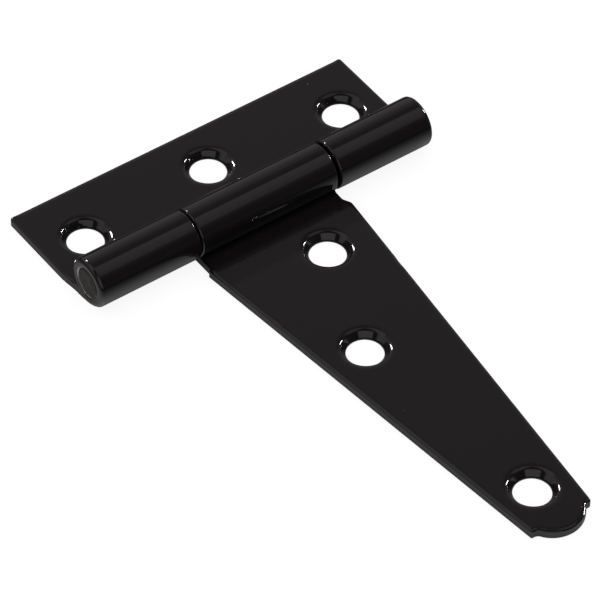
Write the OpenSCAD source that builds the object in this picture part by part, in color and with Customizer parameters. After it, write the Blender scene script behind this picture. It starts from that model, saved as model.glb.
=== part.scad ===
// Tee hinge: a short fixed butt leaf and a long tapered strap leaf, both
// rolled from sheet steel round one fixed pin.
//
// Frame, in millimetres: the pin runs along X. The backs of both leaves lie
// in the plane Z = 0. The origin is in that plane, straight under the middle
// of the pin. The butt leaf runs towards +Y, the strap towards -Y, and the
// countersunk fronts face +Z. The hinge is drawn lying open and flat.
// In names, _d is a diameter, _r a radius and _x or _y a place along that axis.

/* [Sheet] */
// Thickness of the sheet that both leaves are made from
leaf_thick = 1.5; // [1.2:0.1:1.8]

/* [Pin and barrel] */
// Length of the whole barrel along the pin, which is also the butt leaf's width
barrel_len = 60.2; // [58:0.1:72]
// Outside diameter of the rolled knuckles
barrel_d = 8.0; // [7.8:0.1:9]
// Diameter of the pin, held tight in the butt leaf's two knuckles
pin_d = 4.8; // [4:0.1:5]
// Radial running clearance between the pin and the strap's knuckle
run_clearance = 0.05; // [0.02:0.01:0.1]
// How far each end of the pin stands back inside the barrel
pin_recess = 0.1; // [0.05:0.05:1.5]
// Chamfer round each end of the pin
pin_chamfer = 0.2; // [0.1:0.05:1]
// Narrow slit left where each rolled edge comes back down to its own leaf
seam_gap = 0.15; // [0.1:0.05:0.4]
// Angle below the horizontal at which the bevelled rolled edge meets the bore
seam_angle = 62; // [50:1:66]

/* [Butt leaf] */
// Distance from the pin axis to the butt leaf's straight outer edge
butt_depth = 20.0; // [18:0.1:26]
// Radius of the two corners on that edge
butt_corner_r = 0.5; // [0.4:0.1:3]
// Width of the notch between the butt leaf's two knuckles
notch_width = 25.2; // [25:0.1:27]
// Distance from the pin axis to the bottom of the notch
notch_depth = 4.5; // [4.4:0.1:6]
// Sideways offset of the notch from the middle of the barrel
notch_x = 0.3; // [0.2:0.05:0.5]

/* [Strap leaf] */
// Length of the strap from the pin axis to its nose
strap_len = 76.2; // [70:0.1:120]
// Width of the strap's knuckle and neck
neck_width = 24.6; // [23:0.1:24.7]
// Sideways offset of the knuckle and neck from the middle of the barrel
neck_x = 0.15; // [0.1:0.05:0.3]
// Distance from the pin axis to the end of the neck, where the strap widens
neck_len = 5.8; // [5.2:0.1:8]
// Width of the strap at its wide end
root_width = 25.7; // [25:0.1:27]
// Width of the strap across its two square shoulders, next to the nose
tip_width = 10.6; // [10:0.1:14]
// Distance from the pin axis to the shoulders
shoulder_y = 73.7; // [66:0.1:73.7]
// Radius of the rounded nose
nose_r = 5.0; // [4:0.1:5.2]
// Sideways offset of the strap's centre line from the middle of the barrel
strap_x = 0.3; // [-0.3:0.05:0.3]

/* [Screw holes] */
// Diameter of every screw hole at the back of the leaf
hole_d = 5.7; // [4.5:0.1:6]
// Diameter of every countersink at the front of the leaf
countersink_d = 7.8; // [6.5:0.1:8.2]
// Straight part of every hole, from the back face to the countersink
hole_land = 0.55; // [0.3:0.05:1]
// Distance between the butt leaf's two outer holes
butt_pitch = 46.7; // [40:0.1:52]
// Distance from the pin axis to the two outer holes
butt_outer_y = 10.4; // [10:0.1:14]
// Distance from the pin axis to the middle hole
butt_middle_y = 12.1; // [11:0.1:14]
// Distance from the pin axis to the strap's first hole
strap_hole1_y = 12.3; // [12:0.1:16]
// Sideways place of the strap's first hole
strap_hole1_x = 4.4; // [-5:0.1:5]
// Distance from the pin axis to the strap's second hole
strap_hole2_y = 31.6; // [28:0.1:36]
// Sideways place of the strap's second hole
strap_hole2_x = -2.95; // [-3:0.05:3]
// Distance from the pin axis to the strap's last hole, on the centre line
strap_hole3_y = 67.0; // [58:0.1:67]

/* [Hidden] */
$fn = 96;

leaf_color = [0.11, 0.105, 0.11];
pin_color = [0.42, 0.38, 0.34];

barrel_r = barrel_d / 2;
barrel_half = barrel_len / 2;
pin_r = pin_d / 2;
pin_half = barrel_half - pin_recess;
notch_left = notch_x - notch_width / 2;
notch_right = notch_x + notch_width / 2;

// Depth of a rolled edge's outer corner below the pin axis, seam_gap above its leaf
seam_drop = barrel_r - leaf_thick - seam_gap;
// How far the seam cut runs on along the bevel past the bore and past the
// barrel, in bevel lengths from the bore corner
seam_inner_reach = -0.15;
seam_outer_reach = 4;

// Overrun of cuts past the faces they go through
overcut = 1;
// Overlap of the neck into the tapered part
neck_overlap = 0.01;

countersink_depth = leaf_thick - hole_land;
// Growth in diameter of a countersink for each millimetre towards the front
countersink_slope = (countersink_d - hole_d) / countersink_depth;

// Hole centres, [x, y]
butt_holes = [
    [-butt_pitch / 2, butt_outer_y],
    [butt_pitch / 2, butt_outer_y],
    [0, butt_middle_y]
];
strap_holes = [
    [strap_hole1_x, -strap_hole1_y],
    [strap_hole2_x, -strap_hole2_y],
    [strap_x, -strap_hole3_y]
];

// Cross-section of one rolled knuckle, in the YZ plane, with its leaf going
// towards +Y: a ring that is open between its flat leaf and its rolled edge,
// which is bevelled so that it lies down close along the leaf
module knuckle_section(bore_r) {
    // The bevel's two corners, measured from the pin axis
    bore_corner = bore_r * [cos(seam_angle), -sin(seam_angle)];
    outer_corner = [sqrt(barrel_r * barrel_r - seam_drop * seam_drop), -seam_drop];
    bevel = outer_corner - bore_corner;
    translate([0, barrel_r])
        difference() {
            circle(r = barrel_r);
            circle(r = bore_r);
            polygon([
                [0, 0],
                [0, -barrel_d],
                [barrel_d, -barrel_d],
                bore_corner + seam_outer_reach * bevel,
                bore_corner + seam_inner_reach * bevel
            ]);
        }
}

// A rolled knuckle from x = start to x = end along the pin
module knuckle(start, end, bore_r) {
    translate([start, 0, 0])
        rotate([90, 0, 90])
            linear_extrude(height = end - start) knuckle_section(bore_r);
}

// Countersunk screw holes at the given places, as the solids that are cut away
module screw_holes(places) {
    cone_height = countersink_depth + overcut;
    for (place = places)
        translate(place) {
            translate([0, 0, -overcut])
                cylinder(d = hole_d, h = leaf_thick + 2 * overcut);
            translate([0, 0, hole_land])
                cylinder(
                    d1 = hole_d,
                    d2 = hole_d + countersink_slope * cone_height,
                    h = cone_height
                );
        }
}

// Outline of the butt leaf's flat part
module butt_outline() {
    corner_x = barrel_half - butt_corner_r;
    corner_y = butt_depth - butt_corner_r;
    difference() {
        union() {
            translate([-barrel_half, 0]) square([barrel_len, corner_y]);
            translate([-corner_x, 0]) square([2 * corner_x, butt_depth]);
            for (side = [-1, 1])
                translate([side * corner_x, corner_y]) circle(r = butt_corner_r);
        }
        translate([notch_left, -overcut]) square([notch_width, notch_depth + overcut]);
    }
}

// Outline of the strap's flat part, lying towards +Y until it is turned round,
// so its sideways offsets are negated
module strap_outline() {
    translate([-neck_x - neck_width / 2, 0])
        square([neck_width, neck_len + neck_overlap]);
    translate([-strap_x, 0]) {
        polygon([
            [-root_width / 2, neck_len],
            [root_width / 2, neck_len],
            [tip_width / 2, shoulder_y],
            [-tip_width / 2, shoulder_y]
        ]);
        translate([0, strap_len - nose_r]) circle(r = nose_r);
    }
}

// Short wide leaf with the two end knuckles, which hold the pin
module butt_leaf() {
    color(leaf_color)
        difference() {
            union() {
                linear_extrude(height = leaf_thick) butt_outline();
                knuckle(-barrel_half, notch_left, pin_r);
                knuckle(notch_right, barrel_half, pin_r);
            }
            screw_holes(butt_holes);
        }
}

// Long tapered leaf with the middle knuckle, which turns on the pin
module strap_leaf() {
    color(leaf_color)
        difference() {
            rotate([0, 0, 180])
                union() {
                    linear_extrude(height = leaf_thick) strap_outline();
                    knuckle(
                        -neck_x - neck_width / 2,
                        -neck_x + neck_width / 2,
                        pin_r + run_clearance
                    );
                }
            screw_holes(strap_holes);
        }
}

// Plain steel pin with chamfered ends
module hinge_pin() {
    color(pin_color)
        translate([0, 0, barrel_r])
            rotate([0, 90, 0])
                rotate_extrude()
                    polygon([
                        [0, -pin_half],
                        [pin_r - pin_chamfer, -pin_half],
                        [pin_r, -pin_half + pin_chamfer],
                        [pin_r, pin_half - pin_chamfer],
                        [pin_r - pin_chamfer, pin_half],
                        [0, pin_half]
                    ]);
}

butt_leaf();
strap_leaf();
hinge_pin();
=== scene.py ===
"""A black enamelled T hinge, lying open on a pale floor.

The pin runs along x at the height of the barrel's radius. The butt leaf lies towards +y and
the strap leaf towards -y, both with their under face on z = 0. The camera looks down from the
front left (-x, -y). The pieces are worked out in millimetres and turned to metres on building.
"""
import math
from functools import reduce

import bpy
import numpy as np
from mathutils import Matrix, Vector
from mathutils.geometry import delaunay_2d_cdt


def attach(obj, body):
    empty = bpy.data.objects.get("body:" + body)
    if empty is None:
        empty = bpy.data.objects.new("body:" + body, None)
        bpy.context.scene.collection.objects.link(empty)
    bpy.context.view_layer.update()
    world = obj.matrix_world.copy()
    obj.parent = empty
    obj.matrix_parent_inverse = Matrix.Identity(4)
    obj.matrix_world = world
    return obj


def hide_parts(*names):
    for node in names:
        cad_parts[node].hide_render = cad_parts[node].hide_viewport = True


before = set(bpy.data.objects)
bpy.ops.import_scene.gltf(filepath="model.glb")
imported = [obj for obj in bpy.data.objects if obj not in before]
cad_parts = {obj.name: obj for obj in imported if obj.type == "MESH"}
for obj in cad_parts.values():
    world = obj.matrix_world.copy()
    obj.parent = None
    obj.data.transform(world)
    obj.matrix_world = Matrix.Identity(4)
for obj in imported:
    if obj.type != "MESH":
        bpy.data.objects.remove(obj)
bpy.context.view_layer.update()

MM = 0.001

# ---------------------------------------------------------------- sizes, mm
BARREL_R = 4.0                  # also the height of the pin's axis
BARREL_HALF = 30.1              # half the barrel's length
SHEET = 1.5
PIN_R = 2.4
STRAP_GAP = 0.05                # play between the pin and the strap leaf's knuckle
ROUND_SEGMENTS = 72             # round the pin and the screw holes

ROLL = 307.8                    # degrees of roll, measured on the outside
ROLL_STEP = 3.0                 # degrees between points along a rolled tab
SEAM_LEAD = 47.0                # degrees the inner face rolls on at the free edge
BLANK_PER_RADIAN = BARREL_R     # blank length per radian of roll
ROLL_END = -math.radians(ROLL) * BLANK_PER_RADIAN
TAB_CORNER = 0.25

BUTT_DEPTH = 20.0
NOTCH_LEFT, NOTCH_RIGHT, NOTCH_DEPTH = -12.3, 12.9, 4.5
BUTT_HOLES = [(-23.35, 10.4), (23.35, 10.4), (0.0, 12.1)]
BUTT_EDGE = 0.72                # width of the upper edge's rounding

# the strap leaf, in its own blank, which is turned half round when placed
KNUCKLE_MID, KNUCKLE_HALF = -0.15, 12.3
KNUCKLE_X = (KNUCKLE_MID - KNUCKLE_HALF, KNUCKLE_MID + KNUCKLE_HALF)
STRAP_MID = -0.3
STRAP_LENGTH = 76.2
ROOT_HALF, ROOT_V = 25.7 / 2, 5.8
TIP_HALF, SHOULDER_V = 5.3, 73.7
NOSE_R = 5.0
STRAP_HOLES = [(-4.4, 12.3), (2.95, 31.6), (STRAP_MID, 67.0)]
STRAP_EDGE = 0.75


# ------------------------------------------------------------ small helpers
def smooth(x, start, end):
    k = np.clip((np.asarray(x, float) - start) / (end - start), 0, 1)
    return k * k * (3 - 2 * k)


def blend(a, b, k):
    return a * (1 - k) + b * k


def unit(vectors):
    return vectors / np.linalg.norm(vectors, axis=1)[:, None]


def arc(x, y, radius, start, end, count):
    angles = np.radians(np.linspace(start, end, count))
    return [(x + radius * math.cos(a), y + radius * math.sin(a)) for a in angles]


def line(p, q, step):
    n = max(1, int(round(math.hypot(q[0] - p[0], q[1] - p[1]) / step)))
    return [(p[0] + (q[0] - p[0]) * i / n, p[1] + (q[1] - p[1]) * i / n)
            for i in range(n + 1)]


# --------------------------------------------------------- rolling the blank
# A leaf is built from its flat blank: x runs along the pin, v along the sheet. v >= 0 is the
# flat leaf, v < 0 rolls round the pin. n is the height in the sheet, 0 on the under face
# (the outside of the roll) and SHEET on the upper face (the inside of the roll).
def roll_up(points, normals, bore):
    """Carries blank points (x, v, n) and their normals to the rolled leaf."""
    x, v, n = points.T
    angle = np.clip(-v / BLANK_PER_RADIAN, 0, None)
    degrees = np.degrees(angle)
    # the roll's free edge is bevelled, so that it lies down along the leaf
    bevel = smooth(degrees, ROLL - 50, ROLL)
    angle = angle + np.radians(SEAM_LEAD) * bevel * np.clip(n / SHEET, 0, 1)
    theta = -math.pi / 2 - angle
    # the sheet's thickness passes over to the barrel's wall in the first 30 degrees
    wall = BARREL_R - bore
    scale = np.where(v < 0, 1 + (wall / SHEET - 1) * smooth(degrees, 0, 30), 1.0)
    radius = BARREL_R - n * scale
    y = np.where(v < 0, radius * np.cos(theta), v)
    z = np.where(v < 0, BARREL_R + radius * np.sin(theta), n)
    # directions of growing n and growing v
    n_y = np.where(v < 0, -np.cos(theta), 0.0)
    n_z = np.where(v < 0, -np.sin(theta), 1.0)
    v_y = np.where(v < 0, -np.sin(theta), 1.0)
    v_z = np.where(v < 0, np.cos(theta), 0.0)
    rolled = np.stack([normals[:, 0],
                       normals[:, 1] * v_y + normals[:, 2] * n_y,
                       normals[:, 1] * v_z + normals[:, 2] * n_z], 1)
    return np.stack([x, y, z], 1), unit(rolled)


# --------------------------------------------------------------- edge rings
def inward_normals(loop):
    """Unit normals of a closed counter-clockwise loop, pointing into the sheet."""
    before = unit(loop - np.roll(loop, 1, 0))
    after = unit(np.roll(loop, -1, 0) - loop)
    along = before + after
    return unit(np.stack([-along[:, 1], along[:, 0]], 1))


def inward_room(loop, inward):
    """How far each point can move inwards before it meets another part of the edge."""
    d = loop[None, :, :] - loop[:, None, :]
    dist2 = (d ** 2).sum(2)
    dot = np.einsum("ijk,ik->ij", d, inward)
    ahead = dot > 1e-4 * np.sqrt(np.maximum(dist2, 1e-12))
    with np.errstate(divide="ignore", invalid="ignore"):
        radius = np.where(ahead, dist2 / (2 * dot), 1e9)
    np.fill_diagonal(radius, 1e9)
    return radius.min(1)


def edge_sizes(loop, drawn_width):
    """Edge rounding along the outline: inset and height of the upper edge, then of the under
    edge. The upper edge is soft on the free leaf, the under edge crisp, and both lips of the
    barrel's ends are rounded."""
    x, v = np.asarray(loop).T
    degrees = np.degrees(np.clip(-v / BLANK_PER_RADIAN, 0, None))
    free = smooth(v, 3.6, 4.6)
    below_barrel = smooth(v, 0.2, 0.8) * (1 - smooth(v, 3.0, 3.6))
    barrel_end = smooth(np.abs(x), 27.0, 29.0)
    rolled = smooth(-v, -2.5, 2.5)
    tail = smooth(degrees, ROLL - 8, ROLL - 1)
    # drawn over more in the band that holds the butt leaf's far edge
    band = smooth(v, 19.2, 19.9) * (v < 21)
    free_in = blend(drawn_width, 0.95, band)
    free_down = blend(0.36, 0.48, band)

    upper_in = blend(blend(0.34, 0.30, barrel_end), free_in, free)
    upper_down = blend(blend(0.36, 0.50, barrel_end), free_down, free)
    crisp = 0.06
    upper_in = blend(upper_in, crisp, below_barrel)
    upper_down = blend(upper_down, crisp, below_barrel)
    under_in = crisp + (blend(0.32, 0.62, barrel_end) - crisp) * rolled
    under_up = crisp + (blend(0.50, 0.80, barrel_end) - crisp) * rolled
    return (blend(upper_in, 0.08, tail), blend(upper_down, 0.08, tail),
            blend(under_in, 0.10, tail), blend(under_up, 0.10, tail))


def edge_rings(loop, upper_in, upper_down, under_in, under_up):
    """Rings of (x, v, n) and normals, from the under face's inset round to the upper one's."""
    under_steps, upper_steps = 5, 7
    loop = np.asarray(loop, float)
    inward = inward_normals(loop)
    limit = 0.93 * inward_room(loop, inward)
    # the limit may only change gently from point to point
    for _ in range(3):
        limit = np.minimum(limit, (np.roll(limit, 1) + np.roll(limit, -1)) / 2 + 0.06)
    upper_in, under_in = np.minimum(upper_in, limit), np.minimum(under_in, limit)
    rings, normals = [], []

    def add(inset, height, outward, upward):
        rings.append(np.column_stack([loop + inward * inset[:, None], height]))
        normals.append(unit(np.column_stack([-inward * outward[:, None], upward])))

    for j in range(under_steps + 1):
        a = math.pi / 2 * j / under_steps
        s, c = math.sin(a), math.cos(a)
        add(under_in * (1 - s), under_up * (1 - c),
            s / np.maximum(under_in, 1e-3), -c / under_up)
    for j in range(upper_steps + 1):
        a = math.pi / 2 * (1 - j / upper_steps)
        s, c = math.sin(a), math.cos(a)
        add(upper_in * (1 - s), SHEET - upper_down * (1 - c),
            s / np.maximum(upper_in, 1e-3), c / upper_down)
    return rings, normals


# -------------------------------------------------------------- screw holes
# (radius, height) up the wall of a screw hole: nearly upright at the under face, then a
# straight-sided funnel that turns over into the upper face at a fairly crisp rim
HOLE_KNOTS = [
    (2.83, 0.0), (2.835, 0.15), (2.855, 0.30), (2.92, 0.44), (3.06, 0.63),
    (3.22, 0.84), (3.37, 1.03), (3.51, 1.20), (3.66, 1.32), (3.84, 1.40),
    (4.02, 1.452), (4.22, 1.482), (4.44, 1.496), (4.68, 1.50)]
HOLE_LIP = [(2.87, 0.0), (2.84, 0.012)]     # broken edge at the under face


def hole_profile():
    """A smooth curve through the knots, with its ends upright and level."""
    knots = np.array(HOLE_KNOTS)
    run = np.concatenate([[0], np.cumsum(np.hypot(*np.diff(knots, axis=0).T))])
    slope = np.gradient(knots, run, axis=0)
    slope[0] = (0.0, 1.0)
    slope[-1] = (1.0, 0.0)
    points = list(HOLE_LIP)
    for i in range(len(knots) - 1):
        h = run[i + 1] - run[i]
        n = 2 if i < 3 else 3
        for j in range(n):
            # the first point starts a little way up, clear of the lip
            t = 0.25 if i == j == 0 else j / n
            a = (2 * t ** 3 - 3 * t ** 2 + 1) * knots[i] + (t ** 3 - 2 * t ** 2 + t) * h * slope[i]
            b = (-2 * t ** 3 + 3 * t ** 2) * knots[i + 1] + (t ** 3 - t ** 2) * h * slope[i + 1]
            points.append(tuple(a + b))
    points.append(tuple(knots[-1]))
    return np.array(points)


def hole_rings(x, v, profile):
    """Rings and normals of a hole's wall, from the under face to the upper face."""
    tangent = np.gradient(profile, axis=0)
    out, up = -tangent[:, 1], tangent[:, 0]
    # the end normals are those of the two faces
    out[0], up[0] = 0, -1
    out[-1], up[-1] = 0, 1
    length = np.hypot(out, up)
    out, up = out / length, up / length
    a = np.linspace(0, 2 * math.pi, ROUND_SEGMENTS, endpoint=False)
    rings, normals = [], []
    for (r, height), o, u in zip(profile, out, up):
        rings.append(np.column_stack(
            [x + r * np.cos(a), v + r * np.sin(a), np.full(ROUND_SEGMENTS, height)]))
        normals.append(np.column_stack(
            [o * np.cos(a), o * np.sin(a), np.full(ROUND_SEGMENTS, u)]))
    return rings, normals


# ------------------------------------------------------------------- meshes
def inside(ring, points):
    """Which points lie within a ring, by counting crossings."""
    a = ring[:, :2]
    b = np.roll(a, -1, 0)
    x, y = points[:, 0][:, None], points[:, 1][:, None]
    spans = (a[None, :, 1] > y) != (b[None, :, 1] > y)
    with np.errstate(divide="ignore", invalid="ignore"):
        cross_x = ((b[None, :, 0] - a[None, :, 0]) * (y - a[None, :, 1])
                   / (b[None, :, 1] - a[None, :, 1]) + a[None, :, 0])
    return (spans & (x < cross_x)).sum(1) % 2 == 1


def triangulate(rings, slices):
    """Triangles between the outer ring, which comes first, and the hole rings."""
    points = np.concatenate([ring[:, :2] for ring in rings])
    edges, first = [], 0
    for ring in rings:
        n = len(ring)
        edges += [(first + i, first + (i + 1) % n) for i in range(n)]
        first += n
    edges += slices
    flat = [Vector((float(x), float(y))) for x, y in points]
    result = delaunay_2d_cdt(flat, edges, [], 0, 1e-7)
    verts, faces, origins = result[0], result[2], result[3]
    if len(verts) != len(points):
        raise RuntimeError(
            f"the blank's outline crosses itself: {len(verts)} against {len(points)}")
    source = [o[0] for o in origins]
    tri = np.array([[source[i] for i in f] for f in faces])
    centres = points[tri].mean(1)
    keep = inside(rings[0], centres)
    for hole in rings[1:]:
        keep &= ~inside(hole, centres)
    tri = tri[keep]
    p = points[tri]
    area = ((p[:, 1, 0] - p[:, 0, 0]) * (p[:, 2, 1] - p[:, 0, 1])
            - (p[:, 1, 1] - p[:, 0, 1]) * (p[:, 2, 0] - p[:, 0, 0]))
    tri[area < 0] = tri[area < 0][:, ::-1]
    return tri[np.abs(area) > 1e-9]


def band_faces(first, rings, count, flip=False):
    """Quads between successive rings of count points."""
    faces = []
    for k in range(rings - 1):
        low = first + k * count
        high = low + count
        for i in range(count):
            a, b = i, (i + 1) % count
            if flip:
                a, b = b, a
            faces.append((low + a, low + b, high + b, high + a))
    return faces


def make_mesh(name, points, normals, faces):
    mesh = bpy.data.meshes.new(name)
    mesh.from_pydata([tuple(p) for p in (points * MM)], [], faces)
    mesh.update()
    mesh.polygons.foreach_set("use_smooth", [True] * len(mesh.polygons))
    mesh.normals_split_custom_set_from_vertices([tuple(n) for n in normals])
    return add_object(name, mesh)


def add_object(name, data):
    ob = bpy.data.objects.new(name, data)
    bpy.context.scene.collection.objects.link(ob)
    return ob


def build_leaf(name, loop, drawn_width, holes, tabs, bore, turned):
    """loop: closed outline of the blank. tabs: x of the two sides of each rolled tab.
    turned: turned half round the z axis, to lie towards -y."""
    shells = [edge_rings(loop, *edge_sizes(loop, drawn_width))]
    profile = hole_profile()
    shells += [hole_rings(x, v, profile) for x, v in holes]
    faces, starts, first = [], [], 0
    for rings, _ in shells:
        count = len(rings[0])
        faces += band_faces(first, len(rings), count, flip=first > 0)
        starts.append(first)
        first += len(rings) * count
    # the under face closes the first rings, the upper face the last ones
    slices = tab_slices(loop, tabs)
    for face in (0, -1):
        indices = np.concatenate([
            start + (len(rings) - 1 if face else 0) * len(rings[0]) + np.arange(len(rings[0]))
            for start, (rings, _) in zip(starts, shells)])
        tri = indices[triangulate([rings[face] for rings, _ in shells], slices)]
        if face == 0:
            tri = tri[:, ::-1]
        faces += [tuple(t) for t in tri.tolist()]
    points = np.concatenate([ring for rings, _ in shells for ring in rings])
    normals = np.concatenate([n for _, shell_normals in shells for n in shell_normals])
    points, normals = roll_up(points, normals, bore)
    if turned:
        points[:, :2] *= -1
        normals[:, :2] *= -1
    return make_mesh(name, points, normals, faces)


# ----------------------------------------------------------- blank outlines
def tab_side(x, v0, v1):
    """Points along one side of a rolled tab, from v0 to v1, on the roll's own steps."""
    n = int(round(abs(v1 - v0) / (math.radians(ROLL_STEP) * BLANK_PER_RADIAN)))
    return [(x, v0 + (v1 - v0) * i / n) for i in range(n + 1)]


def tab(x0, x1):
    """A rolled tab hanging from v = 0, drawn from (x0, 0) down, across and up to (x1, 0)."""
    low = ROLL_END + 2 * math.radians(ROLL_STEP) * BLANK_PER_RADIAN
    c = TAB_CORNER
    steps = 6
    quarter = [math.pi / 2 * j / steps for j in range(1, steps + 1)]
    points = tab_side(x0, 0.0, low)
    points += [(x0, ROLL_END + c)]
    points += [(x0 + c * (1 - math.cos(a)), ROLL_END + c * (1 - math.sin(a))) for a in quarter]
    points += line((x0 + c, ROLL_END), (x1 - c, ROLL_END), 2.0)[1:]
    points += [(x1 - c * (1 - math.sin(a)), ROLL_END + c * (1 - math.cos(a))) for a in quarter]
    return points + tab_side(x1, low, 0.0)


def tab_slices(loop, tabs):
    """Index pairs of equal v on the two sides of each rolled tab, joined across the roll."""
    def side(x):
        return {round(v, 6): i for i, (px, v) in enumerate(loop)
                if abs(px - x) < 1e-6 and v <= 1e-9}

    pairs = []
    for x0, x1 in tabs:
        a, b = side(x0), side(x1)
        pairs += [(a[v], b[v]) for v in a if v in b]
    return pairs


def dedupe(points):
    out = []
    for x, y in points:
        if not out or math.hypot(x - out[-1][0], y - out[-1][1]) > 1e-6:
            out.append((float(x), float(y)))
    if math.hypot(out[0][0] - out[-1][0], out[0][1] - out[-1][1]) < 1e-6:
        out.pop()
    return out


def fillet(before, corner, after, radius):
    """Points of an arc that rounds a corner between two straight runs."""
    before, corner, after = (np.array(q, float) for q in (before, corner, after))
    a = (before - corner) / np.linalg.norm(before - corner)
    b = (after - corner) / np.linalg.norm(after - corner)
    turn = math.pi - math.acos(float(np.clip(a @ b, -1, 1)))
    reach = radius * math.tan(turn / 2)
    start, end = corner + a * reach, corner + b * reach
    bisector = (a + b) / np.linalg.norm(a + b)
    c = corner + bisector * (radius / math.cos(turn / 2))
    t0 = math.atan2(start[1] - c[1], start[0] - c[0])
    t1 = math.atan2(end[1] - c[1], end[0] - c[0])
    while t1 - t0 > math.pi:
        t1 -= 2 * math.pi
    while t1 - t0 < -math.pi:
        t1 += 2 * math.pi
    n = max(3, int(math.ceil(abs(t1 - t0) / math.radians(11))))
    return [(c[0] + radius * math.cos(t0 + (t1 - t0) * j / n),
             c[1] + radius * math.sin(t0 + (t1 - t0) * j / n)) for j in range(n + 1)]


def refine(points):
    """Short steps along runs of constant x near the roll, where the edge rounding changes."""
    out = [points[0]]
    for p, q in zip(points[:-1], points[1:]):
        if abs(p[0] - q[0]) < 1e-6 and min(p[1], q[1]) < 5.0:
            n = max(1, int(round(abs(p[1] - q[1]) / 0.15)))
            for i in range(1, n + 1):
                out.append((p[0], p[1] + (q[1] - p[1]) * i / n))
        else:
            out.append(q)
    return out


def chain(points, step):
    """Straight runs between (x, v, fillet radius) points, refined near the roll."""
    corners = []
    for i, (x, v, r) in enumerate(points):
        if r <= 0 or i in (0, len(points) - 1):
            corners.append([(x, v)])
        else:
            corners.append(fillet(points[i - 1][:2], (x, v), points[i + 1][:2], r))
    out = list(corners[0])
    for last, corner in zip(corners[:-1], corners[1:]):
        out += line(last[-1], corner[0], step)[1:-1]
        out += corner
    return refine(out)


# Outlines run counter-clockwise, seen from above the blank.
def butt_loop():
    half, depth = BARREL_HALF, BUTT_DEPTH
    plate = chain([
        (half, 0, 0), (half, 5.0, 0), (half, depth, 0.5), (0, depth, 0),
        (-half, depth, 0.5), (-half, 5.0, 0), (-half, 0, 0)], 0.9)
    # the -x end of the flat leaf stands out past the barrel
    overhang = 0.34
    points = [(x - (overhang * float(smooth(v, 2.4, 6.5)) if x < -29 else 0.0), v)
              for x, v in plate]
    points += tab(-half, NOTCH_LEFT)
    points += chain([
        (NOTCH_LEFT, 0, 0), (NOTCH_LEFT, NOTCH_DEPTH, 0.45),
        (NOTCH_RIGHT, NOTCH_DEPTH, 0.45), (NOTCH_RIGHT, 0, 0)], 0.5)
    points += tab(NOTCH_RIGHT, half)
    return dedupe(points)


def strap_loop():
    k0, k1 = KNUCKLE_X
    mid = STRAP_MID
    nose_v = STRAP_LENGTH - NOSE_R
    # the nose's arc meets the shoulders at one angle; its points start a little further on
    meet = math.degrees(math.asin((SHOULDER_V - nose_v) / NOSE_R))
    meet_x = NOSE_R * math.cos(math.radians(meet))
    start = meet + 12.0
    start_x = NOSE_R * math.cos(math.radians(start))
    start_v = nose_v + NOSE_R * math.sin(math.radians(start))
    # the two small inner corners where the nose leaves the shoulders are filleted
    points = chain([
        (k1, 0, 0), (k1, ROOT_V, 0.15), (mid + ROOT_HALF, ROOT_V, 0.22),
        (mid + TIP_HALF, SHOULDER_V, 0.25), (mid + meet_x, SHOULDER_V, 1.05),
        (mid + start_x, start_v, 0)], 0.9)
    points += arc(mid, nose_v, NOSE_R, start, 180 - meet - 12.0, 27)[1:-1]
    points += chain([
        (mid - start_x, start_v, 0), (mid - meet_x, SHOULDER_V, 0.62),
        (mid - TIP_HALF, SHOULDER_V, 0.42), (mid - ROOT_HALF, ROOT_V + 0.55, 0.9),
        (k0, ROOT_V - 0.75, 0.9), (k0, 0, 0)], 0.9)
    points += tab(k0, k1)
    return dedupe(points)


# ---------------------------------------------------------------------- pin
def pin_profile():
    """(radius, x) from the -x end to the +x end. Each end is crowned a little, rounded and
    spread at its edge, where it was staked into the barrel."""
    half = BARREL_HALF - 0.10
    crown_r, crown = 2.18, 0.05
    edge_out, edge_in = 0.27, 0.17
    steps = 8
    end = []
    for j in range(steps + 1):
        r = crown_r * j / steps
        end.append((r, -half - crown + crown * (r / crown_r) ** 2))
    for j in range(1, steps + 1):
        a = math.pi / 2 * j / steps
        end.append((crown_r + edge_out * math.sin(a), -half + edge_in * (1 - math.cos(a))))
    end += [(2.42, -half + 0.24), (2.395, -half + 0.36)]
    shank = [(PIN_R - 0.01, x) for x in (-half + 1.2, -12.0, 12.0, half - 1.2)]
    return np.array(end + shank + [(r, -x) for r, x in end[::-1]])


def build_pin():
    profile = pin_profile()
    tangent = np.gradient(profile, axis=0)
    out, along = tangent[:, 1], -tangent[:, 0]
    length = np.hypot(out, along)
    out, along = out / length, along / length
    segments = ROUND_SEGMENTS
    angles = np.linspace(0, 2 * math.pi, segments, endpoint=False)
    points = [(profile[0][1], 0, BARREL_R)]
    normals = [(-1, 0, 0)]
    for i in range(1, len(profile) - 1):
        r, x = profile[i]
        for a in angles:
            points.append((x, r * math.cos(a), BARREL_R + r * math.sin(a)))
            normals.append((along[i], out[i] * math.cos(a), out[i] * math.sin(a)))
    points.append((profile[-1][1], 0, BARREL_R))
    normals.append((1, 0, 0))
    rows = len(profile) - 2
    last_row = 1 + (rows - 1) * segments
    faces = []
    for k in range(segments):
        j = (k + 1) % segments
        faces.append((0, 1 + j, 1 + k))
        faces.append((len(points) - 1, last_row + k, last_row + j))
    faces += band_faces(1, rows, segments)
    return make_mesh("hinge_pin_steel", np.array(points, float), np.array(normals, float), faces)


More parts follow.
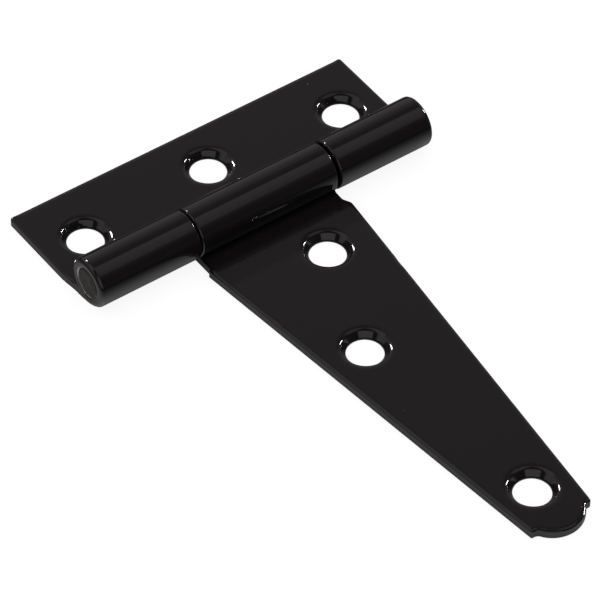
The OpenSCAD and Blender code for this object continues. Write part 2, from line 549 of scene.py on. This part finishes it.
# -------------------------------------------------------------- node helper
class Nodes:
    """Builds the node tree of a material or world. Any input takes a value or a socket."""

    def __init__(self, owner):
        owner.use_nodes = True
        self.tree = owner.node_tree
        self.tree.nodes.clear()

    def node(self, kind, inputs=None, **settings):
        node = self.tree.nodes.new("ShaderNode" + kind)
        for key, value in settings.items():
            setattr(node, key, value)
        for key, value in (inputs or {}).items():
            if isinstance(value, bpy.types.NodeSocket):
                self.tree.links.new(value, node.inputs[key])
            else:
                node.inputs[key].default_value = value
        return node

    def math(self, operation, *values, clamp=False):
        return self.node("Math", dict(enumerate(values)),
                         operation=operation, use_clamp=clamp).outputs[0]

    def plus(self, *values):
        return reduce(lambda a, b: self.math("ADD", a, b), values)

    def times(self, *values):
        return reduce(lambda a, b: self.math("MULTIPLY", a, b), values)

    def minus(self, a, b):
        return self.math("SUBTRACT", a, b)

    def lerp(self, a, b, k):
        return self.plus(self.times(a, self.minus(1.0, k)), self.times(b, k))

    def fade(self, value, start, end):
        """0 at start, 1 at end, whichever of the two is larger."""
        falling = start > end
        return self.node("MapRange", {
            "From Min": min(start, end), "From Max": max(start, end),
            "To Min": 1.0 if falling else 0.0, "To Max": 0.0 if falling else 1.0,
            "Value": value}, interpolation_type="SMOOTHSTEP", clamp=True).outputs["Result"]

    def level_length(self, z):
        """Length of a unit vector's level part, kept off zero."""
        return lambda floor: self.math(
            "SQRT", self.math("MAXIMUM", self.minus(1.0, self.times(z, z)), floor))

    def split(self, vector):
        return self.node("SeparateXYZ", {0: vector}).outputs

    def mix(self, factor, a, b):
        return self.node("Mix", {"Factor": factor, "A": a, "B": b},
                         data_type="RGBA").outputs["Result"]

    def ramp(self, factor, stops):
        node = self.node("ValToRGB", {0: factor})
        elements = node.color_ramp.elements
        while len(elements) < len(stops):
            elements.new(0.5)
        for element, (position, colour) in zip(elements, stops):
            element.position = position
            element.color = (*colour, 1)
        return node.outputs[0]

    def noise(self, place, scale, detail, roughness):
        return self.node("TexNoise", {"Vector": place, "Scale": scale, "Detail": detail,
                                      "Roughness": roughness}).outputs["Fac"]

    def mapping(self, place, location=(0, 0, 0), scale=(1, 1, 1)):
        return self.node("Mapping", {"Vector": place, "Location": location,
                                     "Scale": scale}).outputs[0]

    def bump(self, height, distance):
        return self.node("Bump", {"Strength": 1.0, "Distance": distance,
                                  "Height": height}).outputs[0]

    def surface(self, shader):
        self.node("OutputMaterial", {"Surface": shader.outputs[0]})


# ---------------------------------------------------------------- materials
def bare_lips(n, place, worn):
    """Mask of the inner lips of the barrel's ends, worn to bare steel by the staking."""
    end_x, lip_r, wander = 0.0297, 0.00262, 0.0002      # metres
    x, y, z = n.split(place)
    rise = n.minus(z, BARREL_R * MM)
    radius = n.math("SQRT", n.plus(n.times(y, y), n.times(rise, rise)))
    ragged = n.minus(n.noise(place, scale=1500, detail=2.0, roughness=0.6), 0.5)
    radius = n.plus(radius, n.times(ragged, wander))
    return n.times(n.math("GREATER_THAN", n.math("ABSOLUTE", x), end_x),
                   n.math("LESS_THAN", radius, lip_r), worn)


def enamel_relief(n, place):
    """Long soft ripples, a fine orange peel and faint scratches along the sheet."""
    peel = n.noise(place, scale=900, detail=2.0, roughness=0.45)
    ripple = n.noise(place, scale=230, detail=2.0, roughness=0.5)
    swell = n.noise(place, scale=85, detail=1.0, roughness=0.5)
    drawn_out = n.mapping(place, scale=(1.0, 0.04, 1.0))
    scratches = n.math("POWER", n.noise(drawn_out, scale=2600, detail=1.0, roughness=0.5), 5.0)
    height = n.plus(n.times(peel, 0.25), n.times(ripple, 1.0), n.times(swell, 2.2),
                    n.times(scratches, 0.35))
    return n.bump(height, distance=0.0000040)


def dust_specks(n, place):
    """Mask of dust specks of random size, few of them large, on faces that look up."""
    cells = n.node("TexVoronoi", {"Vector": place, "Scale": 420, "Randomness": 1.0},
                   feature="F1")
    chance = n.node("SeparateColor", {0: cells.outputs["Color"]}).outputs[0]
    size = n.times(n.math("POWER", chance, 9.0), 0.055)
    speck = n.math("LESS_THAN", cells.outputs["Distance"], size)
    normal_z = n.split(n.node("NewGeometry").outputs["Normal"])[2]
    upward = n.math("MULTIPLY", normal_z, 1.0, clamp=True)
    return n.math("MULTIPLY", speck, upward, clamp=True)


def enamel(name, offset, worn):
    """Black enamel. offset moves the textures; worn is how bare the barrel's lips are."""
    black = (0.0072, 0.0061, 0.0065, 1)
    dust = (0.16, 0.15, 0.145, 1)
    steel = (0.33, 0.29, 0.275, 1)
    material = bpy.data.materials.new(name)
    n = Nodes(material)
    place = n.node("TexCoord").outputs["Object"]
    moved = n.mapping(place, location=offset)
    bare = bare_lips(n, place, worn)
    speck = dust_specks(n, moved)
    patches = n.noise(moved, scale=160, detail=3.0, roughness=0.6)
    n.surface(n.node("BsdfPrincipled", {
        "Base Color": n.mix(bare, n.mix(speck, black, dust), steel),
        "Metallic": bare,
        "Roughness": n.plus(0.055, n.times(patches, 0.06), n.times(bare, 0.2),
                            n.times(speck, 0.5)),
        "IOR": 1.5,
        "Specular IOR Level": 0.5,
        "Normal": enamel_relief(n, moved)}))
    return material


def pin_steel(name):
    """Dark, blotchy steel."""
    material = bpy.data.materials.new(name)
    n = Nodes(material)
    place = n.node("TexCoord").outputs["Object"]
    blotch = n.noise(place, scale=700, detail=4.0, roughness=0.6)
    colour = n.ramp(blotch, [(0.3, (0.020, 0.0165, 0.014)), (0.52, (0.036, 0.029, 0.026)),
                             (0.75, (0.085, 0.072, 0.062))])
    patches = n.noise(place, scale=1500, detail=3.0, roughness=0.6)
    grain = n.noise(place, scale=1800, detail=4.0, roughness=0.6)
    n.surface(n.node("BsdfPrincipled", {
        "Base Color": colour,
        "Metallic": 1.0,
        "Roughness": n.plus(0.28, n.times(patches, 0.25)),
        "Normal": n.bump(grain, distance=0.00002)}))
    return material


# ---------------------------------------------------------------- the hinge
def build_hinge():
    butt = build_leaf(
        "butt_leaf_enamel", butt_loop(), drawn_width=BUTT_EDGE, holes=BUTT_HOLES,
        tabs=[(-BARREL_HALF, NOTCH_LEFT), (NOTCH_RIGHT, BARREL_HALF)],
        bore=PIN_R, turned=False)
    strap = build_leaf(
        "strap_leaf_enamel", strap_loop(), drawn_width=STRAP_EDGE, holes=STRAP_HOLES,
        tabs=[KNUCKLE_X], bore=PIN_R + STRAP_GAP, turned=True)
    pin = build_pin()
    butt.data.materials.append(enamel("enamel_butt", offset=(0.013, 0.021, 0.0), worn=1.0))
    strap.data.materials.append(enamel("enamel_strap", offset=(0.051, 0.037, 0.0), worn=0.0))
    pin.data.materials.append(pin_steel("pin_steel"))
    # object, the part it moves with, the CAD piece it replaces, its material slot
    for ob, part, piece, slot in (
            (butt, "butt", "butt_leaf", "enamel"),
            (strap, "strap", "strap_leaf", "enamel"),
            (pin, "butt", "hinge_pin", "pin_steel")):
        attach(ob, part)
        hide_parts(piece)


# ------------------------------------------------------------------- camera
def add_camera():
    # azimuth is from -y towards -x; lengths are in mm
    azimuth, elevation, roll = (math.radians(a) for a in (36.7336, 45.9035, 1.2534))
    target = Vector((0.0, -25.0, 0.0))
    distance, shift_x, shift_y = 729.0527, 7.9516, -2.7246
    back = Vector((-math.sin(azimuth) * math.cos(elevation),
                   -math.cos(azimuth) * math.cos(elevation), math.sin(elevation)))
    level = Vector((math.cos(azimuth), -math.sin(azimuth), 0.0))
    upright = back.cross(level)
    right = math.cos(roll) * level + math.sin(roll) * upright
    up = -math.sin(roll) * level + math.cos(roll) * upright
    place = (target + back * distance - right * shift_x - up * shift_y) / 1000.0
    data = bpy.data.cameras.new("camera")
    data.sensor_width = 36.0
    data.lens = 300.0
    data.clip_start, data.clip_end = 0.01, 20.0
    camera = bpy.data.objects.new("camera", data)
    camera.matrix_world = Matrix((
        (right.x, up.x, back.x, place.x),
        (right.y, up.y, back.y, place.y),
        (right.z, up.z, back.z, place.z),
        (0, 0, 0, 1)))
    bpy.context.scene.collection.objects.link(camera)
    bpy.context.scene.camera = camera


# ------------------------------------------------------------------- studio
# (angle round the x axis, brightness) of the room: 0 is the horizon at the back (+y),
# 0.5 overhead and 1 the horizon at the front
ROOM = [
    (0.0, 0.33), (0.09, 0.315), (0.155, 0.345), (0.222, 0.265),
    (0.289, 0.215), (0.356, 0.095), (0.425, 0.085), (0.452, 0.09),
    (0.476, 0.47), (0.55, 0.45), (0.62, 0.405), (0.685, 0.36),
    (0.73, 0.13), (0.80, 0.06), (0.90, 0.055), (1.0, 0.07)]


def build_world():
    """The room the enamel mirrors; the camera itself sees plain white."""
    world = bpy.data.worlds.new("studio")
    bpy.context.scene.world = world
    n = Nodes(world)
    x, y, z = n.split(n.node("TexCoord").outputs["Generated"])

    def round_fill(direction, width, soft):
        """Mask of a round patch: degrees of full strength, then degrees of fading."""
        d = Vector(direction).normalized()
        dot = n.plus(n.times(x, d.x), n.times(y, d.y), n.times(z, d.z))
        return n.fade(dot, math.cos(math.radians(width + soft)), math.cos(math.radians(width)))

    angle = n.math("DIVIDE", n.math("ARCTAN2", z, y), math.pi)
    colour = n.ramp(angle, [(position, (level,) * 3) for position, level in ROOM])
    room = n.node("RGBToBW", {0: colour}).outputs[0]
    # the bright strip overhead is left only over a stretch on the right
    dimmed = n.times(n.fade(angle, 0.435, 0.455), n.fade(angle, 0.82, 0.76),
                     n.math("MAXIMUM", n.fade(x, 0.22, 0.02), n.fade(x, 0.50, 0.62)))
    room = n.lerp(room, 0.07, dimmed)
    # an even level towards the left at the back, with a large panel on the left
    left_back = n.times(n.fade(x, 0.36, -0.30), n.fade(y, -0.1, 0.2))
    room = n.lerp(room, 0.30, left_back)
    left_panel = n.times(n.fade(y, 0.535, 0.49), n.fade(y, -0.02, 0.10),
                         n.fade(x, 0.20, -0.16))
    room = n.lerp(room, 0.60, left_panel)
    # two fills: low at the right in front, and at the left behind
    right_front = round_fill((0.82, -0.57, 0.06), width=10, soft=9)
    room = n.lerp(room, 0.60, n.times(right_front, n.fade(z, 0.24, 0.14)))
    room = n.lerp(room, 0.50, round_fill((-0.62, 0.66, 0.36), width=8, soft=16))
    # a panel behind the camera, from the camera's height down
    ahead = n.math("DIVIDE", n.plus(n.times(x, -0.597), n.times(y, -0.803)),
                   n.level_length(z)(1e-4))
    room = n.lerp(room, 0.75, n.times(n.fade(ahead, 0.80, 0.86), n.fade(z, 0.74, 0.68)))

    tint = n.node("CombineXYZ", {0: room, 1: n.times(room, 0.95), 2: n.times(room, 0.975)})
    seen = n.mix(n.node("LightPath").outputs["Is Camera Ray"], tint.outputs[0],
                 (1.03, 1.03, 1.03, 1))
    background = n.node("Background", {"Color": seen})
    n.node("OutputWorld", {"Surface": background.outputs[0]})


def floor_material():
    material = bpy.data.materials.new("pale_floor")
    n = Nodes(material)
    geometry = n.node("NewGeometry")
    incoming = geometry.outputs["Incoming"]
    facing = n.math("ABSOLUTE", n.node(
        "VectorMath", {0: incoming, 1: geometry.outputs["Normal"]},
        operation="DOT_PRODUCT").outputs["Value"])
    occlusion = n.node("AmbientOcclusion", {"Distance": 0.006},
                       samples=8, only_local=False).outputs["AO"]
    # what the enamel mirrors of the floor is a painted glow: brighter towards the front left, dim
    # at a grazing angle, and darkened by a painted contact shadow near the hinge
    x, y, _ = n.split(incoming)
    lean = n.plus(n.times(x, 0.574), n.times(y, 0.819))
    sideways = n.math("DIVIDE", lean, n.level_length(facing)(0.0001))
    side = n.plus(0.82, n.times(sideways, 0.40))
    # painted contact shadow: the glow is darkened where ambient occlusion finds the hinge close by
    painted_contact_shade = n.plus(0.12, n.times(occlusion, 0.88))
    glow = n.times(n.math("POWER", facing, 1.4), side, n.times(painted_contact_shade, 1.1))
    painted_floor_glow = n.node("Emission", {"Color": (1, 1, 1, 1), "Strength": glow})
    # the camera sees the pale ground through it, with a painted contact shadow a little darker
    # where the hinge touches, so that a leaf swung down past the floor is still seen
    seen = n.math("ADD", 0.86, n.times(occlusion, 0.14), clamp=True)
    painted_contact_shadow_tint = n.node("CombineXYZ", {0: seen, 1: seen, 2: seen})
    clear = n.node("BsdfTransparent", {"Color": painted_contact_shadow_tint.outputs[0]})
    n.surface(n.node("MixShader", {
        0: n.node("LightPath").outputs["Is Camera Ray"],
        1: painted_floor_glow.outputs[0],
        2: clear.outputs[0]}))
    return material


def add_floor():
    half, z = 4.0, -0.00002         # metres
    mesh = bpy.data.meshes.new("floor")
    corners = [(-half, -half, z), (half, -half, z), (half, half, z), (-half, half, z)]
    mesh.from_pydata(corners, [], [(0, 1, 2, 3)])
    floor = add_object("floor", mesh)
    mesh.materials.append(floor_material())


def add_strip_light(name, direction, size, distance=0.9, power=6.0):
    """A strip light aimed at a point just in front of the pin; metres and watts."""
    aim = Vector((0, -0.02, 0.004))
    d = Vector(direction).normalized()
    data = bpy.data.lights.new(name, "AREA")
    data.shape = "RECTANGLE"
    data.size, data.size_y = size
    data.energy = power
    light = bpy.data.objects.new(name, data)
    light.location = aim + d * distance
    light.rotation_euler = (-d).to_track_quat("-Z", "Y").to_euler()
    bpy.context.scene.collection.objects.link(light)


def set_view():
    view = bpy.context.scene.view_settings
    view.view_transform = "Standard"
    view.look = "None"
    view.exposure = 0.0
    view.gamma = 1.0


build_hinge()
add_camera()
build_world()
add_floor()
add_strip_light("light_back", direction=(-0.03, 0.82, 0.57), size=(0.22, 0.06))
add_strip_light("light_right", direction=(0.87, -0.04, 0.49), size=(0.24, 0.055))
set_view()
